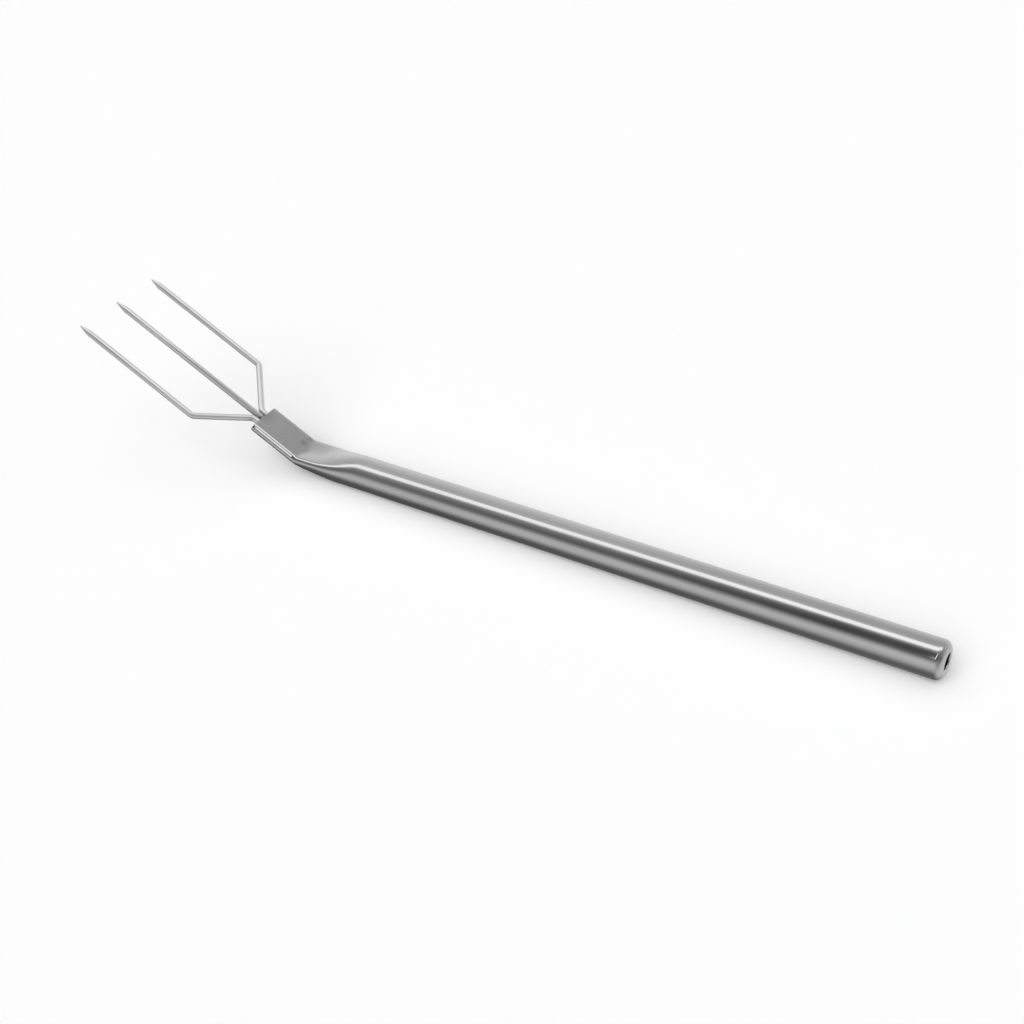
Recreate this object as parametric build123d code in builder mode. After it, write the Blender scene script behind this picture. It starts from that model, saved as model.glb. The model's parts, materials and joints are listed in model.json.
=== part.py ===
"""Uncapping fork: a tube handle pressed flat at its front end over three pointed wire tines.

Frame, mm: X runs along the handle with the open butt end at +X and the tines at -X, Y is across the fork
(left tine at -Y, right tine at +Y), Z is up. The round handle lies on Z = 0 and X = 0 is mid-length.
"""
import os
from math import cos, radians, sin, tan

from build123d import *

# ---- handle tube ----
TUBE_OD = 8.0
TUBE_WALL = 0.5
HANDLE_LENGTH = 154.3      # butt face to the crease where the flat turns up
LIP_ROUND = 1.6            # outside radius of the rolled-in butt edge
LIP_OPENING = 3.4          # diameter of the opening left by that edge

# ---- pressed flat ----
BEND = 29.0                # how far the flat turns up from the handle, degrees
FLAT_LENGTH = 13.0         # crease to mouth, along the flat
FLAT_WIDTH = 8.8
FLAT_THICKNESS = 2.3
FLAT_GAP = 1.56            # between the two pressed walls
FLAT_LIFT = 0.6            # middle of the flat above the tube axis, at the crease
SIDE_WALL = 0.4            # wall at the two folded edges of the flat
CREASE_ROUND = 3.0         # inside radius of the crease
CREASE_REACH = 1.0         # the rounded crease lies within this distance of its middle
UNDER_ROUND = 21.0         # radius of the sweep on the underside
PRESS_START = 18.0         # the round tube ends this far behind the crease
PRESS_END = 5.0            # the top wall is fully down this far behind the crease
UNDER_START = 9.0          # the underside starts to flatten this far behind the crease
ROUND_SHOULDER = 45.0      # side arcs of a round section reach this far up, degrees
FLAT_SHOULDER = 88.5       # the same for a flat section

# ---- tines ----
WIRE_D = 1.5
SHANK_LENGTH = 11.0        # hidden between the pressed walls
TINE_REACH = 46.5          # mouth to tips, along the flat
SHANK_SPACING = 1.56       # centre tine to outer shank, at the mouth
TINE_SPACING = 12.0        # centre tine to outer tine, at the tips
SPLAY_START = 1.7          # mouth to the first bend of an outer tine
SPLAY_END = 11.5           # mouth to its second bend
WIRE_BEND = 1.6            # centre-line radius of both bends
POINT_LENGTH = 3.0
POINT_D = 0.3

# ---- derived ----
SLOPE = tan(radians(BEND))
AXIS_Z = TUBE_OD / 2
BUTT_X = (HANDLE_LENGTH + (FLAT_LENGTH + TINE_REACH) * cos(radians(BEND))) / 2
CREASE_X = BUTT_X - HANDLE_LENGTH
TUBE_END_X = CREASE_X + PRESS_START
HALF_UPRIGHT = FLAT_THICKNESS / 2 / cos(radians(BEND))    # half thickness of the flat, measured upright
WALL_UPRIGHT = (FLAT_THICKNESS - FLAT_GAP) / 2 / cos(radians(BEND))
TOP_AT_CREASE = FLAT_LIFT + HALF_UPRIGHT
UNDER_KNEE = (HALF_UPRIGHT - FLAT_LIFT - AXIS_Z) / SLOPE  # where the flat's underside would meet the tube's

# The flat's own frame: X along the tines, Y across, origin in the middle of the mouth.
along = Vector(-cos(radians(BEND)), 0, sin(radians(BEND)))
mouth = Vector(CREASE_X, 0, AXIS_Z + FLAT_LIFT) + along * FLAT_LENGTH
flat_plane = Plane(origin=mouth, x_dir=along, z_dir=(-sin(radians(BEND)), 0, -cos(radians(BEND))))


def mix(a, b, share):
    return a + (b - a) * share


def blend(start, end, t):
    """0 before start, 1 after end, a smooth step between."""
    u = min(max((t - start) / (end - start), 0.0), 1.0)
    return u * u * (3 - 2 * u)


def stations(start, end, steps):
    """Evenly spaced places along the pressed end, mm in front of the crease (negative: behind it)."""
    return [mix(start, end, i / steps) for i in range(steps + 1)]


def knee(t, radius):
    """Height of a line that is level before t = 0 and rises at BEND after it, its corner rounded."""
    reach = radius * tan(radians(BEND / 2))
    if t <= -reach:
        return 0.0
    if t >= reach * cos(radians(BEND)):
        return t * SLOPE
    return radius - (radius**2 - (t + reach) ** 2) ** 0.5


def quarter(half_width, half_height, shoulder):
    """Middle and end of the side arc of a quarter oval, the arc reaching `shoulder` degrees up."""
    c, s = cos(radians(shoulder)), sin(radians(shoulder))
    side = half_width - (half_width - half_height) / (s + c - 1) * c
    half = radians(shoulder / 2)
    middle = (half_width - side + side * cos(half), side * sin(half))
    return middle, (half_width - side + side * c, side * s)


def section(t, inside=False):
    """Upright outline of the pressed end at station t, or that of the hollow inside it."""
    down = blend(-PRESS_START, -PRESS_END, t)
    half_width = mix(TUBE_OD, FLAT_WIDTH, down) / 2
    upper = mix(AXIS_Z, HALF_UPRIGHT, down)
    split = mix(AXIS_Z, TOP_AT_CREASE, down) + knee(t, CREASE_ROUND) - upper
    lower = split + AXIS_Z - knee(t - UNDER_KNEE, UNDER_ROUND)
    if inside:
        half_width -= mix(TUBE_WALL, SIDE_WALL, down)
        upper -= mix(TUBE_WALL, WALL_UPRIGHT, down)
        lower -= mix(TUBE_WALL, WALL_UPRIGHT, down)
    above, top = quarter(half_width, upper, mix(ROUND_SHOULDER, FLAT_SHOULDER, down))
    flatten = blend(-UNDER_START, 0, t)
    below, low = quarter(half_width, lower, mix(ROUND_SHOULDER, FLAT_SHOULDER, flatten))
    plane = Plane(origin=(CREASE_X - t, 0, AXIS_Z + split), x_dir=(0, 1, 0), z_dir=(1, 0, 0))
    ring = [(half_width, 0), above, top, (0, upper), (-top[0], top[1]), (-above[0], above[1])]
    ring += [(-half_width, 0), (-below[0], -below[1]), (-low[0], -low[1]), (0, -lower)]
    ring += [(low[0], -low[1]), (below[0], -below[1]), (half_width, 0)]
    arcs = [ThreePointArc(*ring[i : i + 3]) for i in range(0, 12, 2)]
    return plane * Face(Wire(arcs))


# From the round tube to the crease, over the crease, and along the flat to past the mouth.
PRESSED_END = (
    stations(-PRESS_START, -CREASE_REACH, 8),
    stations(-CREASE_REACH, CREASE_REACH, 4),
    stations(CREASE_REACH, FLAT_LENGTH, 1),
)

outer_sections = [[section(t) for t in stretch] for stretch in PRESSED_END]
inner_sections = [[section(t, inside=True) for t in stretch] for stretch in PRESSED_END]

with BuildPart() as handle_tube:
    with BuildSketch(Plane(origin=(0, 0, AXIS_Z), x_dir=(1, 0, 0), z_dir=(0, -1, 0))):
        with BuildLine():
            lip_start, bore = BUTT_X - LIP_ROUND, AXIS_Z - TUBE_WALL
            Polyline((lip_start, AXIS_Z), (TUBE_END_X, AXIS_Z), (TUBE_END_X, bore), (lip_start, bore))
            CenterArc((lip_start, AXIS_Z - LIP_ROUND), LIP_ROUND - TUBE_WALL, 0, 90)
            Polyline(
                (BUTT_X - TUBE_WALL, AXIS_Z - LIP_ROUND),
                (BUTT_X - TUBE_WALL, LIP_OPENING / 2),
                (BUTT_X, LIP_OPENING / 2),
                (BUTT_X, AXIS_Z - LIP_ROUND),
            )
            CenterArc((lip_start, AXIS_Z - LIP_ROUND), LIP_ROUND, 0, 90)
        make_face()
    revolve(axis=Axis((0, 0, AXIS_Z), (1, 0, 0)))
    for sections in outer_sections:
        loft(sections)
    for sections in inner_sections:
        loft(sections, mode=Mode.SUBTRACT)
    split(bisect_by=Plane(origin=mouth, z_dir=along), keep=Keep.BOTTOM)

with BuildPart() as centre_tine:
    with BuildLine(flat_plane) as centre_path:
        Line((-SHANK_LENGTH, 0), (TINE_REACH - POINT_LENGTH, 0))
    with BuildSketch(Plane(origin=centre_path.line @ 0, z_dir=along)):
        Circle(WIRE_D / 2)
    sweep()
    with Locations(Plane(origin=centre_path.line @ 1, z_dir=along)):
        Cone(WIRE_D / 2, POINT_D / 2, POINT_LENGTH, align=(Align.CENTER, Align.CENTER, Align.MIN))

with BuildPart() as right_tine:
    with BuildLine(flat_plane) as right_path:
        FilletPolyline(
            (-SHANK_LENGTH, SHANK_SPACING),
            (SPLAY_START, SHANK_SPACING),
            (SPLAY_END, TINE_SPACING),
            (TINE_REACH - POINT_LENGTH, TINE_SPACING),
            radius=WIRE_BEND,
        )
    with BuildSketch(Plane(origin=right_path.line @ 0, z_dir=along)):
        Circle(WIRE_D / 2)
    sweep()
    with Locations(Plane(origin=right_path.line @ 1, z_dir=along)):
        Cone(WIRE_D / 2, POINT_D / 2, POINT_LENGTH, align=(Align.CENTER, Align.CENTER, Align.MIN))

with BuildPart() as left_tine:
    mirror(right_tine.part, about=Plane.XZ)

os.makedirs("parts", exist_ok=True)
handle_tube.part.label = "handle_tube"
left_tine.part.label = "left_tine"
centre_tine.part.label = "centre_tine"
right_tine.part.label = "right_tine"
export_step(handle_tube.part, "parts/handle_tube.step")
export_step(left_tine.part, "parts/left_tine.step")
export_step(centre_tine.part, "parts/centre_tine.step")
export_step(right_tine.part, "parts/right_tine.step")
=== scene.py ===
"""Looks of the uncapping fork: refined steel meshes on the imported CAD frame, a pale studio and the camera."""
import json
from math import cos, pi, radians, sin, sqrt, tan

import bpy
import numpy as np
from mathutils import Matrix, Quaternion, Vector


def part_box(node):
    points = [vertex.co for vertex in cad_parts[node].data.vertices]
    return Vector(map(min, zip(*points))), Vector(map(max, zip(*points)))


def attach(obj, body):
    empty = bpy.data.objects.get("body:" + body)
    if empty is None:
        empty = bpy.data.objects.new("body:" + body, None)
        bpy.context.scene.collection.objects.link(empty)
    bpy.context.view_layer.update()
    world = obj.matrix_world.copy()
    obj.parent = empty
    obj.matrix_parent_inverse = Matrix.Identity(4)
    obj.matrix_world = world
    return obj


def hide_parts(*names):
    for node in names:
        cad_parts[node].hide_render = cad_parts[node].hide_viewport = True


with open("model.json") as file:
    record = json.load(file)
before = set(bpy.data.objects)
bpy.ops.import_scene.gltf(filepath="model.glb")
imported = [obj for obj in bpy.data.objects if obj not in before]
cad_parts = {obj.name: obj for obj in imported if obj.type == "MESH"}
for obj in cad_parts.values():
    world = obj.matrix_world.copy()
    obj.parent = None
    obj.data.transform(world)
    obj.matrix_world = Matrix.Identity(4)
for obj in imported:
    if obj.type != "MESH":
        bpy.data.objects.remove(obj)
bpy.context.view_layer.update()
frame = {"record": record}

MM = 0.001                 # sizes of the fork are in millimetres; meshes and the studio are in metres

# ---- sizes that the CAD frame gives ----
TUBE_R = next(m for m in frame["record"]["mounts"] if m["name"] == "handle_grip")["dims"]["r_mm"]
BUTT_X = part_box("handle_tube")[1][0] / MM

# ---- handle, as in the CAD model ----
TUBE_WALL = 0.5
HANDLE_LENGTH = 154.3
LIP_ROUND = 1.6
LIP_OPENING_R = 1.7
BEND = radians(29.0)
FLAT_LENGTH = 13.0
FLAT_WIDTH = 8.8
FLAT_THICKNESS = 2.3
FLAT_GAP = 1.56
FLAT_LIFT = 0.6
SIDE_WALL = 0.4
CREASE_ROUND = 3.0
UNDER_ROUND = 21.0
PRESS_START = 18.0
PRESS_END = 5.0
UNDER_START = 9.0
ROUND_SHOULDER = 45.0
FLAT_SHOULDER = 88.5

# ---- marks of the press on the top wall ----
DISH_REACH = 1.2           # in the middle the flat runs this far on behind the crease
DISH_START = -9.0          # where the top wall starts to sink towards it, in front of the crease
DISH_FULL = -1.0           # and where it has sunk all the way
DISH_HALF_WIDTH = 4.4
CREASE_SOFTNESS = 0.6
DENT = (0.8, 1.2)          # middle of a small dent: in front of the crease, and across
DENT_RADIUS = 0.7
DENT_DEPTH = 0.08
# Soft dark spots: painted shade in the dent and along the crease, and a darker patch on the flat near the
# mouth. Columns: place in front of the crease and across, radius, and tone in the middle.
DARK_SPOTS = ((0.8, 1.2, 1.5, 0.74), (0.6, 3.0, 1.2, 0.84), (10.6, 0.6, 3.4, 0.84))

# ---- tines, as in the CAD model ----
WIRE_R = 0.75
SHANK_LENGTH = 11.0
TINE_REACH = 46.5
SHANK_SPACING = 1.56
TINE_SPACING = 12.0
SPLAY_START = 1.7
SPLAY_END = 11.5
WIRE_BEND = 1.6
POINT_LENGTH = 3.0
POINT_R = 0.15

# ---- finer than the CAD model ----
MOUTH_EDGE = 0.18          # rounding of the mouth's outer rim
BORE_EDGE = 0.12           # and of its inner rim
OPENING_EDGE = 0.08        # width of the bevels on the butt opening
POINT_SWELL = 1.15         # 1 would grind the points to plain cones; above it they swell slightly
POINT_CONE = 0.97          # share of a point's length that is cone, before its rounded end
POINT_TIP = ((0.03, 0.75), (0.0, 0.3))  # that end's rings: mm short of the tip, and share of POINT_R

# ---- derived ----
SLOPE = tan(BEND)
CREASE_X = BUTT_X - HANDLE_LENGTH
HALF_UPRIGHT = FLAT_THICKNESS / 2 / cos(BEND)
WALL_UPRIGHT = (FLAT_THICKNESS - FLAT_GAP) / 2 / cos(BEND)
TOP_AT_CREASE = FLAT_LIFT + HALF_UPRIGHT
UNDER_KNEE = (HALF_UPRIGHT - FLAT_LIFT - TUBE_R) / SLOPE
ALONG = np.array([-cos(BEND), 0.0, sin(BEND)])
ACROSS = np.array([0.0, 1.0, 0.0])
FLAT_UP = np.array([sin(BEND), 0.0, cos(BEND)])
MOUTH = np.array([CREASE_X, 0.0, TUBE_R + FLAT_LIFT]) + ALONG * FLAT_LENGTH

# ---- mesh fineness ----
SIDE_STEPS = 14            # points on each of a section's four side arcs
CROWN_STEPS = 44           # points on its top and on its bottom
TUBE_RINGS = 60            # along the round part, outside
BORE_RINGS = 40            # along the round part, inside
LIP_RINGS = 13             # around the rolled-in lip
PRESS_PITCH = 0.25         # mm between rings from the round part to just past the crease
PRESS_DONE = 2.0           # in front of the crease; from here to the mouth the section is kept
FLAT_RINGS = 16            # from there to the mouth
RIM_ANGLES = (30, 60, 90)  # rings around the mouth's rounded rims, degrees
WIRE_STEPS = 32            # points around a wire
BEND_RINGS = 13            # around each bend of a wire
POINT_RINGS = 15           # along its point


# ------------------------------------------------------------------ shapes

def mix(a, b, share):
    return a + (b - a) * share


def blend(start, end, t):
    """0 before start, 1 after end, a smooth step between."""
    u = min(max((t - start) / (end - start), 0.0), 1.0)
    return u * u * (3 - 2 * u)


def knee(t, radius):
    """Height of a line that is level before t = 0 and rises at BEND after it, its corner rounded."""
    reach = radius * tan(BEND / 2)
    if t <= -reach:
        return 0.0
    if t >= reach * cos(BEND):
        return t * SLOPE
    return radius - sqrt(radius**2 - (t + reach) ** 2)


def half_outline(half_width, half_height, shoulder):
    """Points over the top of an oval from its +Y side to its -Y side, without the last one.

    The oval's side arcs reach `shoulder` degrees up, where its crown arc takes over.
    """
    gap = (half_width - half_height) / (sin(radians(shoulder)) + cos(radians(shoulder)) - 1)
    side = half_width - gap * cos(radians(shoulder))
    crown = half_height + gap * sin(radians(shoulder))
    rising = np.radians(np.linspace(0, shoulder, SIDE_STEPS, endpoint=False))
    over = np.radians(np.linspace(shoulder, 180 - shoulder, CROWN_STEPS, endpoint=False))
    falling = np.radians(np.linspace(180 - shoulder, 180, SIDE_STEPS, endpoint=False))
    inset = half_width - side
    y = np.concatenate([inset + side * np.cos(rising), crown * np.cos(over), side * np.cos(falling) - inset])
    z = np.concatenate([
        side * np.sin(rising), half_height - crown + crown * np.sin(over), side * np.sin(falling)
    ])
    return np.column_stack([y, z])


def press_marks(t, y):
    """How far the top wall sinks below a plain straight crease at points `y` across station t."""
    def crease(behind):
        return (t * SLOPE + behind + np.hypot(t * SLOPE - behind, CREASE_SOFTNESS)) / 2

    depth = SLOPE * DISH_REACH * np.cos(np.clip(y / DISH_HALF_WIDTH, -1, 1) * pi / 2) ** 2
    away = np.hypot(t - DENT[0], y - DENT[1]) / DENT_RADIUS
    dish = crease(0.0) - crease(-depth * blend(DISH_START, DISH_FULL, t))
    return dish + DENT_DEPTH * np.exp(-(away**2))


def pressed_ring(t, inside, inset=0.0):
    """Ring around the handle, or around its hollow, t mm in front of the crease (negative: behind it).

    The ring is drawn `inset` mm inside its real outline.
    """
    down = blend(-PRESS_START, -PRESS_END, t)
    flatten = blend(-UNDER_START, 0, t)
    half_width = mix(TUBE_R, FLAT_WIDTH / 2, down) - inset
    upper = mix(TUBE_R, HALF_UPRIGHT, down)
    split = mix(TUBE_R, TOP_AT_CREASE, down) + knee(t, CREASE_ROUND) - upper
    lower = split + TUBE_R - knee(t - UNDER_KNEE, UNDER_ROUND) - inset
    upper -= inset
    if inside:
        half_width -= mix(TUBE_WALL, SIDE_WALL, down)
        upper -= mix(TUBE_WALL, WALL_UPRIGHT, down)
        lower -= mix(TUBE_WALL, WALL_UPRIGHT, down)
    top = half_outline(half_width, upper, mix(ROUND_SHOULDER, FLAT_SHOULDER, down))
    top[:, 1] -= press_marks(t, top[:, 0])
    bottom = -half_outline(half_width, lower, mix(ROUND_SHOULDER, FLAT_SHOULDER, flatten))
    outline = np.concatenate([top, bottom])
    x = np.full(len(outline), CREASE_X - t)
    return np.column_stack([x, outline[:, 0], TUBE_R + split + outline[:, 1]])


def round_ring(x, radius):
    """Ring around the tube's axis, its points in step with those of pressed_ring."""
    outline = half_outline(radius, radius, ROUND_SHOULDER)
    outline = np.concatenate([outline, -outline])
    return np.column_stack([np.full(len(outline), x), outline[:, 0], TUBE_R + outline[:, 1]])


def slid(ring, back):
    """The ring's points moved along the flat to `back` mm behind the mouth plane."""
    distance = (ring - MOUTH) @ ALONG + back
    return ring - distance[:, None] * ALONG


def pressed_rings(inside, edge):
    """Rings from the end of the round tube to the mouth, whose rim is rounded by `edge`."""
    rings = [pressed_ring(t, inside) for t in np.arange(-PRESS_START, PRESS_DONE, PRESS_PITCH)]
    base = pressed_ring(PRESS_DONE, inside)
    last = slid(base, edge)
    rings += [mix(base, last, share) for share in np.linspace(0, 1, FLAT_RINGS)]
    inward = -edge if inside else edge
    for angle in RIM_ANGLES:
        inset = inward * (1 - cos(radians(angle)))
        back = edge * (1 - sin(radians(angle)))
        rings.append(slid(pressed_ring(PRESS_DONE, inside, inset), back))
    return rings


def lip_rings(radius, angles):
    """Rings on a lip arc of this radius, from 0, where it leaves the tube, to 90 degrees at the butt face."""
    middle_x, middle_r = BUTT_X - LIP_ROUND, TUBE_R - LIP_ROUND
    return [round_ring(middle_x + radius * sin(a), middle_r + radius * cos(a)) for a in angles]


def mesh_object(name, vertices, faces):
    mesh = bpy.data.meshes.new(name)
    mesh.from_pydata((np.asarray(vertices) * MM).tolist(), [], faces)
    mesh.validate()
    mesh.shade_smooth()
    piece = bpy.data.objects.new(name, mesh)
    bpy.context.scene.collection.objects.link(piece)
    return piece


def skin(rings, closed):
    """Vertices and quads over a row of equal rings; closed joins the last ring to the first."""
    count = len(rings[0])
    faces = []
    for i in range(len(rings) if closed else len(rings) - 1):
        a, b = i * count, (i + 1) % len(rings) * count
        for k in range(count):
            j = (k + 1) % count
            faces.append((a + k, b + k, b + j, a + j))
    return np.concatenate(rings), faces


def build_handle():
    """The tube from its rolled-in lip to the mouth and back along the inside, as one closed skin."""
    lip_x = BUTT_X - LIP_ROUND
    tube_end = CREASE_X + PRESS_START
    quarter = np.radians(np.linspace(0, 90, LIP_RINGS))
    rings = lip_rings(LIP_ROUND, quarter[::-1])
    rings += [round_ring(x, TUBE_R) for x in np.linspace(lip_x, tube_end, TUBE_RINGS)[1:-1]]
    rings += pressed_rings(False, MOUTH_EDGE)
    rings += pressed_rings(True, BORE_EDGE)[::-1]
    rings += [round_ring(x, TUBE_R - TUBE_WALL) for x in np.linspace(tube_end, lip_x, BORE_RINGS)[1:-1]]
    rings += lip_rings(LIP_ROUND - TUBE_WALL, quarter)
    rings += [
        round_ring(BUTT_X - TUBE_WALL, LIP_OPENING_R + OPENING_EDGE),
        round_ring(BUTT_X - TUBE_WALL + OPENING_EDGE, LIP_OPENING_R),
        round_ring(BUTT_X - OPENING_EDGE, LIP_OPENING_R),
        round_ring(BUTT_X, LIP_OPENING_R + OPENING_EDGE),
    ]
    return mesh_object("handle", *skin(rings, closed=True))


def wire_path(corners):
    """Centre-line points and directions in the flat's plane, the corners rounded by WIRE_BEND."""
    points = [corners[0]]
    for before, corner, after in zip(corners, corners[1:], corners[2:]):
        come = (corner - before) / np.linalg.norm(corner - before)
        leave = (after - corner) / np.linalg.norm(after - corner)
        turn = np.arccos(np.clip(come @ leave, -1, 1))
        reach = WIRE_BEND * tan(turn / 2)
        side = 1.0 if come[0] * leave[1] - come[1] * leave[0] > 0 else -1.0
        centre = corner - come * reach + side * WIRE_BEND * np.array([-come[1], come[0]])
        start = corner - come * reach - centre
        for angle in np.linspace(0, turn * side, BEND_RINGS):
            c, s = cos(angle), sin(angle)
            points.append(centre + np.array([c * start[0] - s * start[1], s * start[0] + c * start[1]]))
    points.append(corners[-1])
    points = np.array(points)
    directions = np.gradient(points, axis=0)
    return points, directions / np.linalg.norm(directions, axis=1)[:, None]


def build_tine(name, corners):
    """A round wire through the corners, ground to a point over its last POINT_LENGTH."""
    corners = [np.array(corner, dtype=float) for corner in corners]
    tip = corners[-1]
    corners[-1] = tip - np.array([POINT_LENGTH, 0.0])
    points, directions = wire_path(corners)
    ahead = (1.0, 0.0)
    directions[0] = directions[-1] = ahead
    stations = [(point, direction, WIRE_R) for point, direction in zip(points, directions)]
    for share in np.linspace(0, 1, POINT_RINGS)[1:]:
        point = corners[-1] + np.array([POINT_LENGTH * share * POINT_CONE, 0.0])
        stations.append((point, ahead, mix(WIRE_R, POINT_R, share**POINT_SWELL)))
    for short, share in POINT_TIP:
        stations.append((tip - np.array([short, 0.0]), ahead, POINT_R * share))
    rings = []
    turn = np.linspace(0, 2 * pi, WIRE_STEPS, endpoint=False)
    for point, direction, radius in stations:
        centre = MOUTH + ALONG * point[0] + ACROSS * point[1]
        sideways = ALONG * -direction[1] + ACROSS * direction[0]
        rings.append(centre + radius * (np.cos(turn)[:, None] * FLAT_UP - np.sin(turn)[:, None] * sideways))
    vertices, faces = skin(rings, closed=False)
    last = len(vertices) - WIRE_STEPS
    faces.append(tuple(range(WIRE_STEPS)))
    faces.append(tuple(reversed(range(last, last + WIRE_STEPS))))
    return mesh_object(name, vertices, faces)


def outer_corners(side):
    """Corners of an outer tine's centre line in the flat's plane: side 1 is the right tine, -1 the left."""
    return (
        (-SHANK_LENGTH, side * SHANK_SPACING),
        (SPLAY_START, side * SHANK_SPACING),
        (SPLAY_END, side * TINE_SPACING),
        (TINE_REACH, side * TINE_SPACING),
    )


# ------------------------------------------------------------------ materials

TUBE_COLOR = (0.45, 0.45, 0.453)
TUBE_ROUGHNESS = 0.17
TUBE_STREAKS = (18, 2600, 2600)     # streaks to a metre, along them and across
WIRE_COLOR = (0.7, 0.7, 0.705)
WIRE_ROUGHNESS = 0.36
WIRE_STREAKS = (40, 5200, 5200)
BLOTCHES = 90.0                     # to a metre
BLOTCH_SHARE = 0.35                 # how much of the pattern is blotches; the rest is streaks
PATTERN_LOW, PATTERN_HIGH = 0.3, 0.7  # the part of the noise's range that is used
TONE_SPREAD = (0.9, 1.07)           # colour where the pattern is low and high, as a share of the steel's own
POLISH_SPREAD = (0.8, 1.25)         # the same for roughness
STREAK_HEIGHT = 0.02
STREAK_BUMP = 0.06                  # how strongly that height shows


def steel(name, color, roughness, streak_scale, tilt):
    """Satin drawn steel: fine streaks in tone, roughness and height, over soft blotches.

    The streaks run along X, turned about Y by `tilt` so that they rise towards +X.
    """
    material = bpy.data.materials.new(name)
    material.use_nodes = True
    nodes, links = material.node_tree.nodes, material.node_tree.links
    shader = nodes["Principled BSDF"]
    shader.inputs["Metallic"].default_value = 1.0

    where = nodes.new("ShaderNodeTexCoord")
    turn = nodes.new("ShaderNodeMapping")
    turn.inputs["Rotation"].default_value = (0.0, tilt, 0.0)
    links.new(where.outputs["Object"], turn.inputs["Vector"])
    stretch = nodes.new("ShaderNodeMapping")
    stretch.inputs["Scale"].default_value = streak_scale
    links.new(turn.outputs["Vector"], stretch.inputs["Vector"])

    streaks = nodes.new("ShaderNodeTexNoise")
    streaks.inputs["Scale"].default_value = 1.0
    streaks.inputs["Detail"].default_value = 4.0
    streaks.inputs["Roughness"].default_value = 0.65
    links.new(stretch.outputs["Vector"], streaks.inputs["Vector"])

    blotches = nodes.new("ShaderNodeTexNoise")
    blotches.inputs["Scale"].default_value = BLOTCHES
    blotches.inputs["Detail"].default_value = 3.0
    links.new(where.outputs["Object"], blotches.inputs["Vector"])

    both = nodes.new("ShaderNodeMix")
    both.inputs["Factor"].default_value = BLOTCH_SHARE
    links.new(streaks.outputs["Fac"], both.inputs["A"])
    links.new(blotches.outputs["Fac"], both.inputs["B"])

    tone = nodes.new("ShaderNodeValToRGB")
    for element, place, share in zip(tone.color_ramp.elements, (PATTERN_LOW, PATTERN_HIGH), TONE_SPREAD):
        element.position = place
        element.color = (*(channel * share for channel in color), 1.0)
    links.new(both.outputs["Result"], tone.inputs["Fac"])
    links.new(tone.outputs["Color"], shader.inputs["Base Color"])

    polish = nodes.new("ShaderNodeMapRange")
    polish.inputs["From Min"].default_value = PATTERN_LOW
    polish.inputs["From Max"].default_value = PATTERN_HIGH
    polish.inputs["To Min"].default_value = roughness * POLISH_SPREAD[0]
    polish.inputs["To Max"].default_value = roughness * POLISH_SPREAD[1]
    links.new(both.outputs["Result"], polish.inputs["Value"])
    links.new(polish.outputs["Result"], shader.inputs["Roughness"])

    bump = nodes.new("ShaderNodeBump")
    bump.inputs["Strength"].default_value = STREAK_BUMP
    bump.inputs["Distance"].default_value = STREAK_HEIGHT * MM
    links.new(streaks.outputs["Fac"], bump.inputs["Height"])
    links.new(bump.outputs["Normal"], shader.inputs["Normal"])
    return material


def darken_around(material, centre, radius, tone):
    """Darken the steel softly around a place: to `tone` of its colour in the middle."""
    # The darkening stands in for shade in the dent and the crease, and makes a darker patch near the mouth.
    nodes, links = material.node_tree.nodes, material.node_tree.links
    color = nodes["Principled BSDF"].inputs["Base Color"]
    undarkened = color.links[0].from_socket
    away = nodes.new("ShaderNodeVectorMath")
    away.operation = "DISTANCE"
    away.inputs[1].default_value = tuple(c * MM for c in centre)
    links.new(nodes["Texture Coordinate"].outputs["Object"], away.inputs[0])
    share = nodes.new("ShaderNodeMapRange")
    share.interpolation_type = "SMOOTHERSTEP"
    share.inputs["From Max"].default_value = radius * MM
    share.inputs["To Min"].default_value = tone
    links.new(away.outputs["Value"], share.inputs["Value"])
    darkened = nodes.new("ShaderNodeVectorMath")
    darkened.operation = "SCALE"
    links.new(undarkened, darkened.inputs[0])
    links.new(share.outputs["Result"], darkened.inputs["Scale"])
    links.new(darkened.outputs["Vector"], color)


# ------------------------------------------------------------------ the fork

handle = build_handle()
tines = {
    "left_tine": build_tine("tine_left", outer_corners(-1)),
    "centre_tine": build_tine("tine_centre", ((-SHANK_LENGTH, 0), (TINE_REACH, 0))),
    "right_tine": build_tine("tine_right", outer_corners(1)),
}
tube_steel = steel("tube_steel", TUBE_COLOR, TUBE_ROUGHNESS, TUBE_STREAKS, 0.0)
# Painted shade: the steel's colour darkened in the dent and along the crease; the last spot darkens the flat
# near the mouth.
for forward, across, radius, tone in DARK_SPOTS:
    darken_around(tube_steel, (CREASE_X - forward, across, TUBE_R + TOP_AT_CREASE + forward * SLOPE), radius, tone)
handle.data.materials.append(tube_steel)
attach(handle, "root")
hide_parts("handle_tube")
# The tines rise towards -X, so these streaks cross them, at twice BEND.
wire_steel = steel("wire_steel", WIRE_COLOR, WIRE_ROUGHNESS, WIRE_STREAKS, BEND)
for node, tine in tines.items():
    tine.data.materials.append(wire_steel)
    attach(tine, "root")
    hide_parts(node)


# ------------------------------------------------------------------ studio

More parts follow.
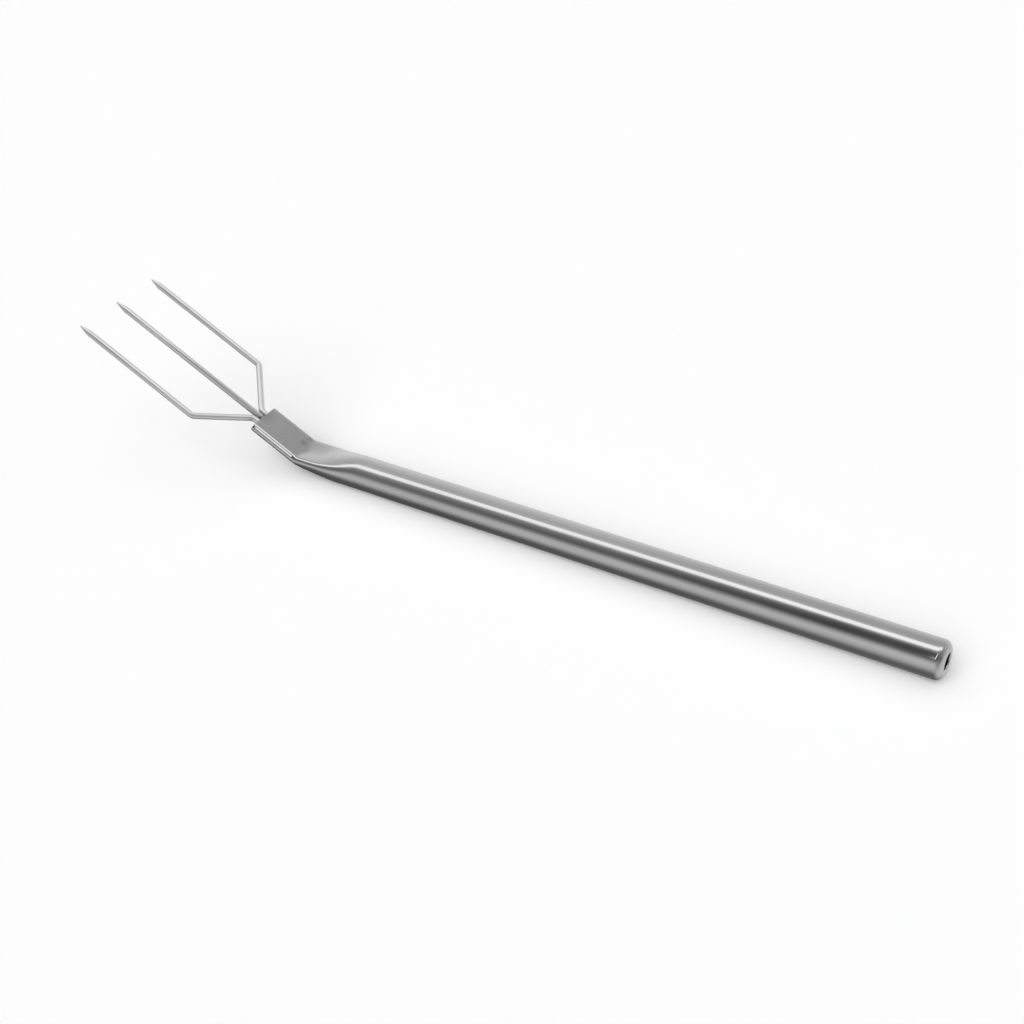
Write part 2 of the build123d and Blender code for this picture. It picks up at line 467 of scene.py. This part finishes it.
# What the steel mirrors: a lean in degrees from straight up towards the camera side (-Y), and the grey there.
# Directions towards the tines use the first table, those across the handle the second, and those past the
# butt the third.
TINE_TONES = (
    (-180, 0.12), (-155, 0.12), (-140, 0.25), (-125, 0.6), (-110, 0.9), (-90, 1.1), (-70, 1.12),
    (-50, 1.0), (-30, 0.85), (-8, 0.75), (10, 0.8), (25, 0.66), (40, 0.4), (55, 0.24), (70, 0.34),
    (85, 0.76), (100, 0.86), (113, 0.8), (126, 0.52), (140, 0.22), (155, 0.14), (180, 0.12),
)
ACROSS_TONES = (
    (-180, 0.2), (-152, 0.25), (-140, 0.65), (-125, 0.8), (-110, 0.9), (-90, 0.95), (-75, 0.85),
    (-50, 0.7), (-30, 0.63), (-15, 0.8), (0, 0.85), (12, 0.4), (25, 0.1), (40, 0.04), (52, 0.06),
    (62, 0.28), (72, 0.65), (85, 0.95), (100, 0.95), (113, 0.78), (126, 0.5), (140, 0.3), (155, 0.2),
    (180, 0.2),
)
BUTT_TONES = (
    (-180, 1.0), (-135, 1.0), (-60, 0.7), (0, 0.4), (45, 0.25), (85, 0.5), (120, 0.8), (180, 1.0),
)
TO_ACROSS = (-0.6, -0.2)            # X of a direction where the first table gives way to the second
TO_BUTT = (0.1, 0.6)                # and the second to the third

FLOOR_HALF = 3.0
WALL_RADIUS = 2.9
WALL_HEIGHT = 4.0
WALL_SIDES = 64

CAMERA_PLACE = (0.15163, -0.19198, 0.19351)
CAMERA_AZIMUTH = 36.9               # it looks this far round from +Y towards -X
CAMERA_ELEVATION = 37.9             # and this far down
CAMERA_ROLL = -7.03
LENS = 49.55
SENSOR_WIDTH = 36.0
NEAR_CLIP = 0.01


def backdrop(name, vertices, faces, sockets):
    """A mesh of the studio in one plain material, which the steel doesn't mirror."""
    mesh = bpy.data.meshes.new(name)
    mesh.from_pydata(vertices, [], faces)
    piece = bpy.data.objects.new(name, mesh)
    piece.visible_glossy = False
    bpy.context.scene.collection.objects.link(piece)
    material = bpy.data.materials.new(name)
    material.use_nodes = True
    for socket, value in sockets.items():
        material.node_tree.nodes["Principled BSDF"].inputs[socket].default_value = value
    mesh.materials.append(material)
    return piece


def pale_floor():
    corners = [(x * FLOOR_HALF, y * FLOOR_HALF, 0) for x, y in ((-1, -1), (1, -1), (1, 1), (-1, 1))]
    paper = {"Base Color": (0.93, 0.93, 0.93, 1.0), "Roughness": 0.9, "Specular IOR Level": 0.1}
    floor = backdrop("floor", corners, [(0, 1, 2, 3)], paper)


def pale_wall():
    """A plain round wall on the floor, there for the camera alone: it gives no light and no shadow."""
    turns = np.linspace(0, 2 * pi, WALL_SIDES, endpoint=False)
    around = [WALL_RADIUS * np.cos(turns), WALL_RADIUS * np.sin(turns), np.zeros(WALL_SIDES)]
    ring = np.column_stack(around)
    vertices, faces = skin([ring, ring + (0.0, 0.0, WALL_HEIGHT)], closed=False)
    glow = {
        "Base Color": (0.0, 0.0, 0.0, 1.0),
        "Specular IOR Level": 0.0,
        "Emission Color": (0.96, 0.96, 0.96, 1.0),
        "Emission Strength": 1.0,
    }
    wall = backdrop("wall", vertices.tolist(), faces, glow)
    wall.visible_diffuse = wall.visible_shadow = False


def panel(name, size, radiance, location, turn):
    """A softbox that only the steel sees. It faces down before it is turned, in degrees about X, Y and Z."""
    data = bpy.data.lights.new(name, "AREA")
    data.shape = "RECTANGLE"
    data.size, data.size_y = size
    data.energy = radiance * pi * size[0] * size[1]
    light = bpy.data.objects.new(name, data)
    light.location = location
    light.rotation_euler = [radians(angle) for angle in turn]
    light.visible_diffuse = False
    light.visible_camera = False
    bpy.context.scene.collection.objects.link(light)


def room_light(name, lean, softness, strength):
    """Wide soft light that the steel doesn't mirror, leaning towards the camera side by `lean` degrees."""
    data = bpy.data.lights.new(name, "SUN")
    data.angle = radians(softness)
    data.energy = strength
    light = bpy.data.objects.new(name, data)
    light.rotation_euler = (radians(lean), 0.0, 0.0)
    light.visible_glossy = False
    bpy.context.scene.collection.objects.link(light)


def sky_band(nodes, links, turn, tones):
    """The grey that a table gives for a lean in turns: 0 stands for -180 degrees and 1 for 180."""
    ramp = nodes.new("ShaderNodeValToRGB")
    elements = ramp.color_ramp.elements
    for place, (degrees, tone) in enumerate(tones):
        spot = degrees / 360 + 0.5
        element = elements[place] if place < 2 else elements.new(spot)
        element.position = spot
        element.color = (tone, tone, tone, 1.0)
    links.new(turn, ramp.inputs["Fac"])
    return ramp.outputs["Color"]


def studio_world():
    """Grey surroundings for the steel to mirror, which change from the tine end to the butt end."""
    world = bpy.data.worlds.new("studio")
    world.use_nodes = True
    bpy.context.scene.world = world
    world.cycles_visibility.diffuse = False
    nodes, links = world.node_tree.nodes, world.node_tree.links
    where = nodes.new("ShaderNodeTexCoord")
    parts = nodes.new("ShaderNodeSeparateXYZ")
    links.new(where.outputs["Generated"], parts.inputs["Vector"])
    forward = nodes.new("ShaderNodeMath")
    forward.operation = "MULTIPLY"
    forward.inputs[1].default_value = -1.0
    links.new(parts.outputs["Y"], forward.inputs[0])
    lean = nodes.new("ShaderNodeMath")
    lean.operation = "ARCTAN2"
    links.new(forward.outputs[0], lean.inputs[0])
    links.new(parts.outputs["Z"], lean.inputs[1])
    turn = nodes.new("ShaderNodeMapRange")
    turn.inputs["From Min"].default_value = -pi
    turn.inputs["From Max"].default_value = pi
    links.new(lean.outputs[0], turn.inputs["Value"])
    tone = sky_band(nodes, links, turn.outputs["Result"], TINE_TONES)
    for tones, (start, end) in ((ACROSS_TONES, TO_ACROSS), (BUTT_TONES, TO_BUTT)):
        share = nodes.new("ShaderNodeMapRange")
        share.inputs["From Min"].default_value = start
        share.inputs["From Max"].default_value = end
        links.new(parts.outputs["X"], share.inputs["Value"])
        further = nodes.new("ShaderNodeMix")
        further.data_type = "RGBA"
        links.new(share.outputs["Result"], further.inputs["Factor"])
        links.new(tone, further.inputs["A"])
        links.new(sky_band(nodes, links, turn.outputs["Result"], tones), further.inputs["B"])
        tone = further.outputs["Result"]
    links.new(tone, nodes["Background"].inputs["Color"])


def place_camera():
    """The camera looks down on the butt end, along and across the fork."""
    azimuth, elevation = radians(CAMERA_AZIMUTH), radians(CAMERA_ELEVATION)
    data = bpy.data.cameras.new("camera")
    data.lens = LENS
    data.sensor_width = SENSOR_WIDTH
    data.clip_start = NEAR_CLIP
    camera = bpy.data.objects.new("camera", data)
    camera.location = CAMERA_PLACE
    level = cos(elevation)
    look = Vector((-sin(azimuth) * level, cos(azimuth) * level, -sin(elevation)))
    camera.rotation_mode = "QUATERNION"
    camera.rotation_quaternion = look.to_track_quat("-Z", "Y") @ Quaternion((0, 0, 1), radians(CAMERA_ROLL))
    bpy.context.scene.collection.objects.link(camera)
    bpy.context.scene.camera = camera


pale_floor()
pale_wall()
studio_world()
# Overhead: the long highlight on top of the tube.
panel("strip", size=(1.8, 0.26), radiance=1.19, location=(-0.26, -0.047, 0.7), turn=(0.0, 0.0, 22.7))
# Far off on the camera side: the bright line on the near folded edge of the flat.
panel(
    "fold_panel",
    size=(1.3, 0.24),
    radiance=2.2,
    location=(0.178, -1.196, 1.594),
    turn=(19.9, -32.5, 67.2),
)
room_light("ceiling", lean=0.0, softness=110.0, strength=1.9)
room_light("front", lean=45.0, softness=60.0, strength=2.0)
place_camera()
bpy.context.scene.view_settings.view_transform = "Standard"
